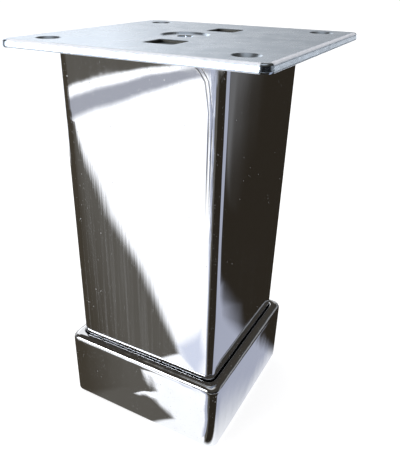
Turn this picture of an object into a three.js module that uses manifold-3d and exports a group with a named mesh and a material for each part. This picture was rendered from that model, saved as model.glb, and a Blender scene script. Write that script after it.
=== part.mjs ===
// A height-adjustable square furniture leg: a chromed square column under a zinc-plated
// mounting plate, standing in a wider chromed foot out of which a spindle lifts it by 15 mm.
//
// Millimetres, +Z up. The origin is on the floor, below the plate's centre, with the leg
// fully lowered. Shapes are made about the column's axis, and the whole leg is then shifted.
// Every mesh is one separate piece of the leg.
import * as THREE from "three";
import { mergeVertices } from "three/addons/utils/BufferGeometryUtils.js";
import Module from "manifold-3d";

const wasm = await Module();
wasm.setup();

// ---- driving dimensions ----

const TOTAL_HEIGHT = 150;
const COLUMN_SIDE = 62;
const COLUMN_WALL = 1.5;
const COLUMN_CORNER = 3;

const PLATE_SIDE = 90;
const PLATE_THICK = 2.5;
const PLATE_CORNER = 3;
const PLATE_SHIFT_X = 3.2; // the plate's centre stands a little off the column's axis
const PLATE_SHIFT_Y = 0.5;
const FIXING_PITCH = 68; // between the corner holes for the wood screws
const FIXING_HOLE_RADIUS = 2.4;
const FIXING_SINK_RADIUS = 4.2;
const WINDOW_SIDE = 10.5; // the two square windows that the bridge's lugs stand in
const WINDOW_OFFSET = 21; // along Y from the screw, one window each way
const WINDOW_SIDESTEP = 5.2; // along X from the screw, both windows the same way
const WINDOW_CORNER = 0.8;

const SCREW_RADIUS = 4; // M8
const SCREW_HEAD_RADIUS = 8;
const SCREW_LENGTH = 18.5;
const SCREW_NUT_FLATS = 13;
const SCREW_NUT_HEIGHT = 6.5;
const KEY_FLATS = 5; // hex socket of the screw and of the spindle
const BRIDGE_THICK = 3;
const CLAMP_WASHER_RADIUS = 14.5;
const CLAMP_WASHER_THICK = 3;

const FOOT_SIDE = 70.2;
const FOOT_WALL = 1.5;
const FOOT_CORNER = 4;
const FOOT_TOP = 31.5;
const FOOT_EDGE_RADIUS = 2.6;
const FOOT_HEM = 1.2; // thickness of the hem turned in under the base
const FOOT_HEM_INNER = 60;
const BASE_THICK = 4.6;
const LINER_FLOOR = 2.2;
const PAD_RADIUS = 7;
const PAD_PITCH = 40; // between the glide pads, one near each corner
const BASE_SCREW_REACH = 22; // from the axis to each base screw, one to a side
const BASE_SCREW_RADIUS = 1.5;
const FLOOR_GAP = 1; // the skirt hangs this far above the floor, on its glide pads

const SPINDLE_RADIUS = 4.7; // M10, at the mean of its thread
const SPINDLE_STUB_RADIUS = 5;
const SPINDLE_FLANGE_RADIUS = 9;
const SPINDLE_FLANGE_THICK = 2.2;
const STOP_NUT_FLATS = 17;
const STOP_NUT_HEIGHT = 5;
const CLIP_THICK = 0.9;
const BUSH_RADIUS = 8;
const BUSH_FLANGE_RADIUS = 10.5;
const BUSH_FLANGE_THICK = 2;
const INSERT_RIM = 2; // the column's end stands on this rim of the lower insert
const INSERT_PLUG = 21;
const TRAVEL = 15; // how far the spindle lifts the column out of the foot

const RUN_GAP = 0.3; // clearance between a piece and the one that moves in it
const FIT_GAP = 0.1; // clearance between two pieces that are clamped together
const ROUND = 32; // sides of a turned piece
const SMALL_ROUND = 20; // sides of a small hole, screw or pad
const CORNER_STEPS = 3; // half the facets of a round corner
const EDGE_STEPS = 3; // facets of a rounded edge

// ---- heights worked out from them ----

const plateUnder = TOTAL_HEIGHT - PLATE_THICK;
const bridgeUnder = plateUnder - BRIDGE_THICK;
const clampWasherUnder = bridgeUnder - CLAMP_WASHER_THICK;
const seatRadius = SCREW_HEAD_RADIUS + 0.6;
const seatHole = SCREW_RADIUS + 0.4;
const seatLow = TOTAL_HEIGHT - (seatRadius - seatHole); // the seat is a 90 degree cone

const hemTop = FLOOR_GAP + FOOT_HEM;
const baseTop = hemTop + BASE_THICK;
const linerFloorTop = baseTop + LINER_FLOOR;
const linerTop = FOOT_TOP - FOOT_EDGE_RADIUS - RUN_GAP;
const padTop = hemTop + 1.5;
const baseScrewHeadTop = hemTop + 2.2;
const bossTop = linerFloorTop + 3.2;
const clipTop = hemTop + 2.2;
const stubHole = SPINDLE_STUB_RADIUS + RUN_GAP;

const flangeUnder = linerFloorTop + 0.8; // room for the thrust washer
const flangeTop = flangeUnder + SPINDLE_FLANGE_THICK;
const insertUnder = linerFloorTop + 1.2;
const columnUnder = insertUnder + INSERT_RIM;
const insertTop = columnUnder + INSERT_PLUG;
const webUnder = flangeTop + 1.2;
const bushTop = insertTop + 0.5; // the stop nut meets the bush, not the insert
const stopUnder = bushTop + TRAVEL + 0.5;
const stopTop = stopUnder + STOP_NUT_HEIGHT;

// ---- shapes ----

/** A closed geometry as a solid that can be joined and cut. */
function solidOf(geometry) {
  const bare = geometry.index ? geometry.toNonIndexed() : geometry.clone();
  bare.deleteAttribute("normal");
  bare.deleteAttribute("uv");
  const merged = mergeVertices(bare, 1e-4);
  const mesh = new wasm.Mesh({
    numProp: 3,
    vertProperties: merged.attributes.position.array,
    triVerts: new Uint32Array(merged.index.array),
  });
  return new wasm.Manifold(mesh);
}

/** A solid back as a geometry, with flat shading across its facets. */
function geometryOf(solid) {
  const made = solid.getMesh();
  const stride = made.numProp;
  const positions = new Float32Array(made.numVert * 3);
  for (let i = 0; i < made.numVert; i++) {
    positions.set(made.vertProperties.subarray(i * stride, i * stride + 3), i * 3);
  }
  const indexed = new THREE.BufferGeometry();
  indexed.setAttribute("position", new THREE.BufferAttribute(positions, 3));
  indexed.setIndex(new THREE.BufferAttribute(made.triVerts, 1));
  const flat = indexed.toNonIndexed();
  flat.computeVertexNormals();
  return flat;
}

/** A square outline with round corners. */
function squareShape(side, corner) {
  const half = side / 2;
  const inner = half - corner;
  const shape = new THREE.Shape();
  shape.moveTo(-inner, -half);
  shape.lineTo(inner, -half);
  shape.absarc(inner, -inner, corner, -Math.PI / 2, 0);
  shape.lineTo(half, inner);
  shape.absarc(inner, inner, corner, 0, Math.PI / 2);
  shape.lineTo(-inner, half);
  shape.absarc(-inner, inner, corner, Math.PI / 2, Math.PI);
  shape.lineTo(-half, -inner);
  shape.absarc(-inner, -inner, corner, Math.PI, 1.5 * Math.PI);
  shape.closePath();
  return shape;
}

/** A regular hexagon, by its width across flats. */
function hexShape(acrossFlats) {
  const radius = acrossFlats / Math.sqrt(3);
  const corners = [];
  for (let i = 0; i < 6; i++) {
    const turn = (i * Math.PI) / 3;
    corners.push(new THREE.Vector2(radius * Math.cos(turn), radius * Math.sin(turn)));
  }
  return new THREE.Shape(corners);
}

/** An outline raised from one height to another. */
function prism(shape, low, high) {
  const options = { depth: high - low, bevelEnabled: false, curveSegments: CORNER_STEPS };
  const geometry = new THREE.ExtrudeGeometry(shape, options);
  geometry.translate(0, 0, low);
  return solidOf(geometry);
}

/** A square block with round corners and a rounded top edge. */
function crownedBlock(side, corner, low, high, edge) {
  const options = {
    depth: high - low - edge,
    bevelSize: edge,
    bevelThickness: edge,
    bevelSegments: EDGE_STEPS,
    curveSegments: CORNER_STEPS,
  };
  const shape = squareShape(side - 2 * edge, corner - edge);
  const geometry = new THREE.ExtrudeGeometry(shape, options);
  geometry.translate(0, 0, low);
  const below = prism(squareShape(side + 2, corner), low - 2 * edge, low);
  return solidOf(geometry).subtract(below);
}

/** A solid of revolution about Z. The profile, [radius, height] pairs, runs from low to high outside. */
function turned(profile, sides = ROUND) {
  const points = profile.map(([radius, height]) => new THREE.Vector2(radius, height));
  const geometry = new THREE.LatheGeometry(points, sides);
  geometry.rotateX(Math.PI / 2);
  return solidOf(geometry);
}

/** A plain disc or shaft about Z. */
function disc(radius, low, high, sides = ROUND) {
  return turned([[0, low], [radius, low], [radius, high], [0, high]], sides);
}

/** A plain ring about Z. */
function ring(inner, outer, low, high) {
  return turned([[inner, low], [outer, low], [outer, high], [inner, high], [inner, low]]);
}

/** A box by its two corners. */
function box(low, high) {
  const size = high.map((value, axis) => value - low[axis]);
  const geometry = new THREE.BoxGeometry(...size);
  geometry.translate(...low.map((value, axis) => value + size[axis] / 2));
  return solidOf(geometry);
}

/** The four corners of a square, as [x, y] centres. */
function cornersOf(pitch) {
  const half = pitch / 2;
  return [[half, half], [-half, half], [-half, -half], [half, -half]];
}

/** The middles of a square's four sides, as [x, y] centres. */
function sidesOf(reach) {
  return [[reach, 0], [0, reach], [-reach, 0], [0, -reach]];
}

// ---- materials ----

const mirrorChrome = () => metal(0xdfe3e8, 0.08);
const zincPlate = () => metal(0xb9c0c9, 0.38);
const plainSteel = () => metal(0x8d9299, 0.4);
const blackNylon = () => plastic(0x1d1d1f, 0.6);
const padRubber = () => plastic(0x2a2a2c, 0.9);

function metal(color, roughness) {
  return new THREE.MeshStandardMaterial({ color, roughness, metalness: 1 });
}

function plastic(color, roughness) {
  return new THREE.MeshStandardMaterial({ color, roughness, metalness: 0 });
}

// ---- the leg: plate, column and what is fixed in them ----

/** Pressed steel plate: countersunk corner holes, two windows and a dished seat for the screw. */
function mountingPlate() {
  const top = TOTAL_HEIGHT;
  let plate = prism(squareShape(PLATE_SIDE, PLATE_CORNER), plateUnder, top);
  const sinkDepth = FIXING_SINK_RADIUS - FIXING_HOLE_RADIUS;
  const fixing = turned(
    [
      [0, plateUnder - 1],
      [FIXING_HOLE_RADIUS, plateUnder - 1],
      [FIXING_HOLE_RADIUS, top - sinkDepth],
      [FIXING_SINK_RADIUS, top],
      [FIXING_SINK_RADIUS, top + 1],
      [0, top + 1],
    ],
    SMALL_ROUND,
  );
  for (const [x, y] of cornersOf(FIXING_PITCH)) {
    plate = plate.subtract(fixing.translate(x, y, 0));
  }
  plate = plate.translate(PLATE_SHIFT_X, PLATE_SHIFT_Y, 0);
  const window = prism(squareShape(WINDOW_SIDE, WINDOW_CORNER), plateUnder - 1, top + 1);
  plate = plate.subtract(window.translate(WINDOW_SIDESTEP, WINDOW_OFFSET, 0));
  plate = plate.subtract(window.translate(WINDOW_SIDESTEP, -WINDOW_OFFSET, 0));
  return plate.add(seatOutside()).subtract(seatInside());
}

/** The dished seat's outer skin, below the plate. */
function seatOutside() {
  return turned([
    [0, seatLow - 1],
    [seatHole + 1.4, seatLow - 1],
    [seatRadius + 2, plateUnder],
    [seatRadius + 2, plateUnder + 1],
    [0, plateUnder + 1],
  ]);
}

/** The space inside the dished seat. */
function seatInside() {
  return turned([
    [0, seatLow - 2],
    [seatHole, seatLow - 2],
    [seatHole, seatLow],
    [seatRadius, TOTAL_HEIGHT],
    [seatRadius, TOTAL_HEIGHT + 1],
    [0, TOTAL_HEIGHT + 1],
  ]);
}

/** Countersunk M8 screw with a hex socket, its head just below the plate's face. */
function plateScrew() {
  const headTop = TOTAL_HEIGHT - 0.5;
  const headLow = headTop - (SCREW_HEAD_RADIUS - SCREW_RADIUS);
  const end = headTop - SCREW_LENGTH;
  const body = turned([
    [0, end],
    [SCREW_RADIUS - 0.8, end],
    [SCREW_RADIUS, end + 0.8],
    [SCREW_RADIUS, headLow],
    [SCREW_HEAD_RADIUS, headTop],
    [0, headTop],
  ]);
  return body.subtract(prism(hexShape(KEY_FLATS), headTop - 3, headTop + 1));
}

/** Pressed steel deck welded across the column's top, with a half-sheared lug for each window. */
function topBridge() {
  const side = COLUMN_SIDE - 2 * COLUMN_WALL - 2 * FIT_GAP;
  const sheet = plateUnder - bridgeUnder;
  const flangeHalfWidth = 17;
  const flangeLow = bridgeUnder - 14;
  const lugSide = WINDOW_SIDE - 1;
  const lugTop = TOTAL_HEIGHT - 1;
  const punchTop = bridgeUnder + lugTop - plateUnder;
  const lug = prism(squareShape(lugSide, WINDOW_CORNER), plateUnder - 1, lugTop);
  const punch = prism(squareShape(lugSide, WINDOW_CORNER), bridgeUnder - 1, punchTop);
  let bridge = prism(squareShape(side, 2), bridgeUnder, plateUnder);
  for (const end of [-1, 1]) {
    const middle = end * (side / 2 - sheet / 2);
    const low = [middle - sheet / 2, -flangeHalfWidth, flangeLow];
    const high = [middle + sheet / 2, flangeHalfWidth, plateUnder - 1];
    bridge = bridge.add(box(low, high));
    const x = WINDOW_SIDESTEP;
    const y = end * WINDOW_OFFSET;
    bridge = bridge.add(lug.translate(x, y, 0)).subtract(punch.translate(x, y, 0));
  }
  const seat = disc(seatRadius + 2.6, bridgeUnder - 1, plateUnder + 1);
  return bridge.subtract(seat);
}

/** Thick washer that spans the bridge's hole. */
function clampWasher() {
  return ring(seatHole, CLAMP_WASHER_RADIUS, clampWasherUnder, bridgeUnder);
}

/** M8 nut under the washer. */
function clampNut() {
  const low = clampWasherUnder - SCREW_NUT_HEIGHT;
  const nut = prism(hexShape(SCREW_NUT_FLATS), low, clampWasherUnder);
  return nut.subtract(disc(SCREW_RADIUS + FIT_GAP, low - 1, clampWasherUnder + 1));
}

/** Chromed square steel tube. */
function columnTube() {
  const outer = prism(squareShape(COLUMN_SIDE, COLUMN_CORNER), columnUnder, plateUnder);
  const innerShape = squareShape(COLUMN_SIDE - 2 * COLUMN_WALL, COLUMN_CORNER - COLUMN_WALL);
  return outer.subtract(prism(innerShape, columnUnder - 1, plateUnder + 1));
}

/** Nylon plug in the column's lower end: a rim that the tube stands on, and a ribbed boss. */
function lowerInsert() {
  const rimSide = COLUMN_SIDE - 2 * RUN_GAP;
  const plugSide = COLUMN_SIDE - 2 * COLUMN_WALL - 2 * FIT_GAP;
  const wall = 2.6;
  const hollowSide = plugSide - 2 * wall;
  const webTop = webUnder + 3;
  const ribTop = insertTop - 6;
  let insert = prism(squareShape(rimSide, COLUMN_CORNER), insertUnder, columnUnder);
  insert = insert.add(prism(squareShape(plugSide, 1.6), columnUnder - 1, insertTop));
  insert = insert.subtract(prism(squareShape(hollowSide, 1), insertUnder - 1, webUnder));
  insert = insert.subtract(prism(squareShape(hollowSide, 1), webTop, insertTop + 1));
  insert = insert.add(disc(BUSH_RADIUS + 3.5, webUnder, insertTop));
  const reach = hollowSide / 2 + 0.5;
  insert = insert.add(box([-reach, -1.2, webUnder], [reach, 1.2, ribTop]));
  insert = insert.add(box([-1.2, -reach, webUnder], [1.2, reach, ribTop]));
  const bore = turned([
    [0, webUnder - 1],
    [BUSH_FLANGE_RADIUS + FIT_GAP, webUnder - 1],
    [BUSH_FLANGE_RADIUS + FIT_GAP, webUnder + BUSH_FLANGE_THICK],
    [BUSH_RADIUS + FIT_GAP, webUnder + BUSH_FLANGE_THICK],
    [BUSH_RADIUS + FIT_GAP, insertTop + 1],
    [0, insertTop + 1],
  ]);
  return insert.subtract(bore);
}

/** Flanged steel bush that the spindle turns in. */
function threadedBush() {
  const bore = SPINDLE_RADIUS + RUN_GAP;
  const shoulder = webUnder + BUSH_FLANGE_THICK - FIT_GAP;
  return turned([
    [bore, webUnder],
    [BUSH_FLANGE_RADIUS, webUnder],
    [BUSH_FLANGE_RADIUS, shoulder],
    [BUSH_RADIUS, shoulder],
    [BUSH_RADIUS, bushTop],
    [bore, bushTop],
    [bore, webUnder],
  ]);
}

// ---- the foot: skirt, base, liner, screws and pads ----

/** Chromed pressed skirt: a rounded top edge round the column, and a hem turned in below. */
function footSkirt() {
  const inner = FOOT_SIDE - 2 * FOOT_WALL;
  const innerEdge = FOOT_EDGE_RADIUS - FOOT_WALL;
  const mouth = COLUMN_SIDE + 2 * 0.5;
  const outside = crownedBlock(FOOT_SIDE, FOOT_CORNER, FLOOR_GAP, FOOT_TOP, FOOT_EDGE_RADIUS);
  const hollow = crownedBlock(
    inner,
    FOOT_CORNER - FOOT_WALL,
    hemTop,
    FOOT_TOP - FOOT_WALL,
    innerEdge,
  );
  return outside
    .subtract(hollow)
    .subtract(prism(squareShape(mouth, COLUMN_CORNER + 0.5), FOOT_TOP - 5, FOOT_TOP + 1))
    .subtract(prism(squareShape(FOOT_HEM_INNER, 2), FLOOR_GAP - 1, hemTop + 1));
}

/** Nylon base on the hem: sockets for the pads, the screws and the spindle's clip. */
function footBase() {
  const side = FOOT_SIDE - 2 * FOOT_WALL - 2 * FIT_GAP;
  let base = prism(squareShape(side, FOOT_CORNER - FOOT_WALL), hemTop, baseTop);
  const socket = disc(PAD_RADIUS + FIT_GAP, hemTop - 1, padTop + FIT_GAP, SMALL_ROUND);
  for (const [x, y] of cornersOf(PAD_PITCH)) {
    base = base.subtract(socket.translate(x, y, 0));
  }
  const screwHole = turned(
    [
      [0, hemTop - 1],
      [BASE_SCREW_RADIUS + 1.7, hemTop - 1],
      [BASE_SCREW_RADIUS + 1.7, baseScrewHeadTop],
      [BASE_SCREW_RADIUS + 0.2, baseScrewHeadTop],
      [BASE_SCREW_RADIUS + 0.2, baseTop + 1],
      [0, baseTop + 1],
    ],
    SMALL_ROUND,
  );
  for (const [x, y] of sidesOf(BASE_SCREW_REACH)) {
    base = base.subtract(screwHole.translate(x, y, 0));
  }
  const clipRecess = SPINDLE_FLANGE_RADIUS;
  const spindleHole = turned([
    [0, hemTop - 1],
    [clipRecess, hemTop - 1],
    [clipRecess, clipTop + FIT_GAP],
    [stubHole, clipTop + FIT_GAP],
    [stubHole, baseTop + 1],
    [0, baseTop + 1],
  ]);
  return base.subtract(spindleHole);
}

/** Nylon cup between the skirt and the column: its walls guide the column, its floor has bosses. */
function guideLiner() {
  const outerSide = FOOT_SIDE - 2 * FOOT_WALL - 2 * FIT_GAP;
  const innerSide = COLUMN_SIDE + 2 * RUN_GAP;
  let liner = prism(squareShape(outerSide, FOOT_CORNER - FOOT_WALL), baseTop, linerTop);
  const inside = squareShape(innerSide, COLUMN_CORNER + RUN_GAP);
  liner = liner.subtract(prism(inside, linerFloorTop, linerTop + 1));
  const boss = disc(2 * BASE_SCREW_RADIUS, linerFloorTop - 1, bossTop, SMALL_ROUND);
  const hole = disc(BASE_SCREW_RADIUS + FIT_GAP, baseTop - 1, bossTop - 0.4, SMALL_ROUND);
  for (const [x, y] of sidesOf(BASE_SCREW_REACH)) {
    liner = liner.add(boss.translate(x, y, 0)).subtract(hole.translate(x, y, 0));
  }
  return liner.subtract(disc(stubHole, baseTop - 1, linerFloorTop + 1));
}

/** Pan-head screw with a cross recess, driven up through the base into the liner. */
function baseScrew() {
  const headLow = hemTop + 0.5;
  const headRadius = BASE_SCREW_RADIUS + 1.5;
  const screw = turned(
    [
      [0, headLow],
      [headRadius - 0.5, headLow],
      [headRadius, headLow + 0.5],
      [headRadius, baseScrewHeadTop],
      [BASE_SCREW_RADIUS, baseScrewHeadTop],
      [BASE_SCREW_RADIUS, bossTop - 1.2],
      [0, bossTop - 0.6],
    ],
    SMALL_ROUND,
  );
  const slot = 0.35;
  const arm = 1.5;
  const depth = headLow + 1;
  return screw
    .subtract(box([-arm, -slot, headLow - 1], [arm, slot, depth]))
    .subtract(box([-slot, -arm, headLow - 1], [slot, arm, depth]));
}

/** Rubber pad, standing proud of the skirt, that the leg stands on. */
function glidePad() {
  const chamfer = 0.5;
  return turned(
    [
      [0, 0],
      [PAD_RADIUS - chamfer, 0],
      [PAD_RADIUS, chamfer],
      [PAD_RADIUS, padTop],
      [0, padTop],
    ],
    SMALL_ROUND,
  );
}

// ---- the spindle and what turns with it ----

/** Levelling spindle: a stub held in the base, a flange that carries the load, an M10 thread. */
function spindle() {
  const stubLow = hemTop + 0.5;
  const grooveRadius = SPINDLE_STUB_RADIUS - 0.8;
  const grooveLow = clipTop - CLIP_THICK - FIT_GAP;
  const grooveHigh = clipTop + FIT_GAP;
  const end = stopTop + 1.5;
  const body = turned([
    [0, stubLow],
    [SPINDLE_STUB_RADIUS - 0.3, stubLow],
    [SPINDLE_STUB_RADIUS, stubLow + 0.3],
    [SPINDLE_STUB_RADIUS, grooveLow],
    [grooveRadius, grooveLow],
    [grooveRadius, grooveHigh],
    [SPINDLE_STUB_RADIUS, grooveHigh],
    [SPINDLE_STUB_RADIUS, flangeUnder],
    [SPINDLE_FLANGE_RADIUS, flangeUnder],
    [SPINDLE_FLANGE_RADIUS, flangeTop],
    [SPINDLE_RADIUS, flangeTop],
    [SPINDLE_RADIUS, end - 1],
    [SPINDLE_RADIUS - 1, end],
    [0, end],
  ]);
  return body.subtract(prism(hexShape(KEY_FLATS), stubLow - 1, stubLow + 4));
}

/** Open ring snapped into the stub's groove, which keeps the spindle in the base. */
function retainingClip() {
  const low = clipTop - CLIP_THICK;
  const inner = SPINDLE_STUB_RADIUS - 0.7;
  const outer = SPINDLE_FLANGE_RADIUS - 1.2;
  const gapHalf = 2.6;
  const gap = box([0, -gapHalf, low - 1], [outer + 1, gapHalf, clipTop + 1]);
  return ring(inner, outer, low, clipTop).subtract(gap);
}

/** Steel washer between the spindle's flange and the liner's floor. */
function thrustWasher() {
  return ring(stubHole, SPINDLE_FLANGE_RADIUS, linerFloorTop, flangeUnder - FIT_GAP);
}

/** Nut pinned at the spindle's top, which the bush meets at the end of the travel. */
function stopNut() {
  const nut = prism(hexShape(STOP_NUT_FLATS), stopUnder, stopTop);
  return nut.subtract(disc(SPINDLE_RADIUS + FIT_GAP, stopUnder - 1, stopTop + 1));
}

// ---- the assembly ----

/** A named mesh of one solid. */
function piece(name, solid, material) {
  const mesh = new THREE.Mesh(geometryOf(solid), material);
  mesh.name = name;
  return mesh;
}

/** The plate and the screw, washer and nut that clamp it to the bridge. */
function plateGroup() {
  const group = new THREE.Group();
  group.add(piece("mounting_plate", mountingPlate(), zincPlate()));
  group.add(piece("plate_screw", plateScrew(), plainSteel()));
  group.add(piece("clamp_washer", clampWasher(), plainSteel()));
  group.add(piece("clamp_nut", clampNut(), plainSteel()));
  return group;
}

/** Pieces fixed to the column. */
function columnGroup() {
  const group = new THREE.Group();
  group.add(piece("column_tube", columnTube(), mirrorChrome()));
  group.add(piece("top_bridge", topBridge(), plainSteel()));
  group.add(piece("lower_insert", lowerInsert(), blackNylon()));
  group.add(piece("threaded_bush", threadedBush(), plainSteel()));
  return group;
}

/** Pieces of the foot, which stays on the floor as the column lifts. */
function footGroup() {
  const group = new THREE.Group();
  group.add(piece("foot_skirt", footSkirt(), mirrorChrome()));
  group.add(piece("foot_base", footBase(), blackNylon()));
  group.add(piece("guide_liner", guideLiner(), blackNylon()));
  cornersOf(PAD_PITCH).forEach(([x, y], index) => {
    const pad = piece(`glide_pad_${index + 1}`, glidePad(), padRubber());
    pad.position.set(x, y, 0);
    group.add(pad);
  });
  sidesOf(BASE_SCREW_REACH).forEach(([x, y], index) => {
    const screw = piece(`base_screw_${index + 1}`, baseScrew(), plainSteel());
    screw.position.set(x, y, 0);
    group.add(screw);
  });
  return group;
}

/** Pieces that turn together in the foot and the bush. */
function spindleGroup() {
  const group = new THREE.Group();
  group.add(piece("spindle", spindle(), plainSteel()));
  group.add(piece("retaining_clip", retainingClip(), plainSteel()));
  group.add(piece("thrust_washer", thrustWasher(), plainSteel()));
  group.add(piece("stop_nut", stopNut(), plainSteel()));
  return group;
}

const aboutColumn = new THREE.Group();
aboutColumn.position.set(-PLATE_SHIFT_X, -PLATE_SHIFT_Y, 0);
aboutColumn.add(plateGroup(), columnGroup(), footGroup(), spindleGroup());

const leg = new THREE.Group();
leg.add(aboutColumn);

export default leg;
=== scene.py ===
"""Looks of the adjustable square furniture leg: fine meshes, procedural finishes, plain pale studio."""

import math

import bmesh
import bpy
from mathutils import Matrix, Vector, noise as lattice


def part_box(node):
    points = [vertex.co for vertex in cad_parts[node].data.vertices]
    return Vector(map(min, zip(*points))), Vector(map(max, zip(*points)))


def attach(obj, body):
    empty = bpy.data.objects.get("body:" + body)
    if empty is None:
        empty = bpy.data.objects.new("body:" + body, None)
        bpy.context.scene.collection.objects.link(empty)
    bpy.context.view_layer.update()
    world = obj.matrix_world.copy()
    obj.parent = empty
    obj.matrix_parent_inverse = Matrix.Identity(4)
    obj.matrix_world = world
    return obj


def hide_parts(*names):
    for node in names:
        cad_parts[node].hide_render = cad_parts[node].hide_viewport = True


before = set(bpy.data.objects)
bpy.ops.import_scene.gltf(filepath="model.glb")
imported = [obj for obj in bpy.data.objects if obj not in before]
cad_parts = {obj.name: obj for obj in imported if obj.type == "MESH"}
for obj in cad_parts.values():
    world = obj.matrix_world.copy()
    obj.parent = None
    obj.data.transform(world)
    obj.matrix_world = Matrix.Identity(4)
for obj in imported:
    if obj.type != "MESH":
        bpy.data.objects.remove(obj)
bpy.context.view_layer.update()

MM = 0.001

# Camera, in metres and degrees.
CAMERA_PLACE = Vector((0.08806, -0.16254, 0.16868))
CAMERA_TARGET = Vector((-0.00238, -0.00108, 0.06828))
CAMERA_ROLL = math.radians(0.808)
CAMERA_LENS = 40.349
CAMERA_SHIFT = (0.03675, 0.04625)

# Shape details in millimetres that the CAD boxes don't give.
TUBE_WALL = 1.5
TUBE_CORNER = 3.0
TUBE_EDGE = 0.35
CORNER_ROLLS = (0.085, 0.03, 0.03, 0.03)
FACE_ROLL_REACH = 3.5
TOP_ROLL = 0.03
TOP_ROLL_REACH = 6.0
MARK_TOP = 5.5
MARK_ROUND = 17.5

SKIRT_WALL = 1.5
SKIRT_CORNER = 4.0
SKIRT_SHOULDER = 2.6
SKIRT_MOUTH_HALF = 31.5
SKIRT_MOUTH_CORNER = 3.5
SKIRT_HEM = 1.2
SKIRT_HEM_HALF = 30.0
SKIRT_HEM_CORNER = 2.0

PLATE_CORNER = 3.0
PLATE_ROLL = 0.7
PLATE_BURR = 0.18
PLATE_DRAFT = 0.22
PLATE_CORNER_START = 42.0
PLATE_CORNER_MARK = -0.55
SCREW_HOLE_REACH = 34.0
SCREW_HOLE_RADIUS = 2.4
SINK_RADIUS = 4.2
WINDOW_REACH = 21.0
WINDOW_SIDESTEP = 5.2
WINDOW_HALF = 5.25
WINDOW_CORNER = 0.8
DISH_TOP_RADIUS = 8.6
DISH_LOW_RADIUS = 4.4
DISH_SKIN_LOW = 5.8
DISH_SKIN_HIGH = 10.6

HEX_SOCKET = 2.5
HEX_DEPTH = 3.0
SHANK_RADIUS = 4.0
THREAD_RADIUS = SHANK_RADIUS - 0.05
THREAD_PITCH = 1.25

WASHER_BORE = 5.3
WASHER_LIFT = 0.02
WASHER_EDGE = 0.12

# Marks on the tube's front face: distances from its near upright edge in millimetres, and
# heights and places in metres between which a mark fades.
RUBBED_BAND = (3.2, 5.2)
RUBBED_FADE = (0.07, 0.1)
# The two grooves are painted near black as well: a painted reflection of the dark double line that the
# rolled-off border mirrors.
POLISH_LINES_PAINTED_DARK = ((5.3, 0.42), (4.2, 0.34))
POLISH_LINE_PAINTED_DARK_FADE = (0.094, 0.118)
FRONT_FACE_END = (-0.0308, -0.0300)
STREAK_HEIGHTS = (0.055, 0.12)
STREAK_PLACES = (-0.01, 0.022)


# ---------------------------------------------------------------- rings and meshes


def box_mm(node):
    """A CAD node's lowest and highest corners in millimetres."""
    low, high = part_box(node)
    return low / MM, high / MM


def middle_mm(node):
    """The middle of a CAD node's box in millimetres."""
    low, high = box_mm(node)
    return (low + high) / 2


def side_stops(length, fine=0.6, growth=1.25, coarse=4.0):
    """Distances along a side, close together at both ends and wider apart in the middle."""
    stops = [0.0]
    step = fine
    while stops[-1] + step < length / 2:
        stops.append(stops[-1] + step)
        step = min(step * growth, coarse)
    mirrored = [length - s for s in reversed(stops)]
    if length / 2 - stops[-1] > step / 3:
        stops.append(length / 2)
    return stops + mirrored


def share_stops(length):
    """Side stops as shares of a side, so that rings of different sizes line up."""
    return [s / length for s in side_stops(length)]


def square_ring(centre, half, corner, z, rolls=(0.0, 0.0, 0.0, 0.0), stops=None, arc_steps=10):
    """A ring of points round a square with round corners, anticlockwise seen from above from +X, -Y.

    Each corner's roll is how far its faces fall away beside it."""
    ring = []
    flat = 2 * (half - corner)
    stops = [s * flat for s in stops]
    for side in range(4):
        roll_here = rolls[side]
        roll_next = rolls[(side + 1) % 4]
        outward = Vector((math.cos(side * math.pi / 2), math.sin(side * math.pi / 2)))
        along = Vector((-outward.y, outward.x))
        for s in stops:
            sink = roll_here * max(0.0, 1 - s / FACE_ROLL_REACH) ** 2
            sink += roll_next * max(0.0, 1 - (flat - s) / FACE_ROLL_REACH) ** 2
            p = outward * (half - sink) + along * (s - flat / 2)
            ring.append((centre.x + p.x, centre.y + p.y, z))
        for k in range(1, arc_steps):
            angle = k / arc_steps * math.pi / 2
            reach = corner - roll_next
            p = outward * (half - corner + reach * math.cos(angle))
            p += along * (flat / 2 + reach * math.sin(angle))
            ring.append((centre.x + p.x, centre.y + p.y, z))
    return ring


def circle_ring(centre, radius, z, count=64):
    """A ring of points round a circle, anticlockwise seen from above."""
    turns = [2 * math.pi * k / count for k in range(count)]
    return [(centre.x + radius * math.cos(t), centre.y + radius * math.sin(t), z) for t in turns]


def polygon_ring(centre, apothem, sides, z, count=60):
    """A ring of points round a regular polygon whose flats lie at the apothem."""
    ring = []
    sector = 2 * math.pi / sides
    for k in range(count):
        turn = 2 * math.pi * k / count
        radius = apothem / math.cos((turn % sector) - sector / 2)
        ring.append((centre.x + radius * math.cos(turn), centre.y + radius * math.sin(turn), z))
    return ring


def loft(rings, closed=False, caps=(False, False)):
    """Quads between rings of equal count; the rings run up the outside and down the inside."""
    count = len(rings[0])
    points = [p for ring in rings for p in ring]
    faces = []
    for k in range(len(rings) if closed else len(rings) - 1):
        a = k * count
        b = (k + 1) % len(rings) * count
        for i in range(count):
            j = (i + 1) % count
            faces.append((a + i, a + j, b + j, b + i))
    if caps[0]:
        faces.append(tuple(reversed(range(count))))
    if caps[1]:
        faces.append(tuple(range(len(points) - count, len(points))))
    return points, faces


def arc(centre_u, centre_v, radius, start, end, steps):
    """Points of an arc in a profile plane, from one angle to another in degrees."""
    made = []
    for k in range(steps + 1):
        angle = math.radians(start + (end - start) * k / steps)
        made.append((centre_u + radius * math.cos(angle), centre_v + radius * math.sin(angle)))
    return made


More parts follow.
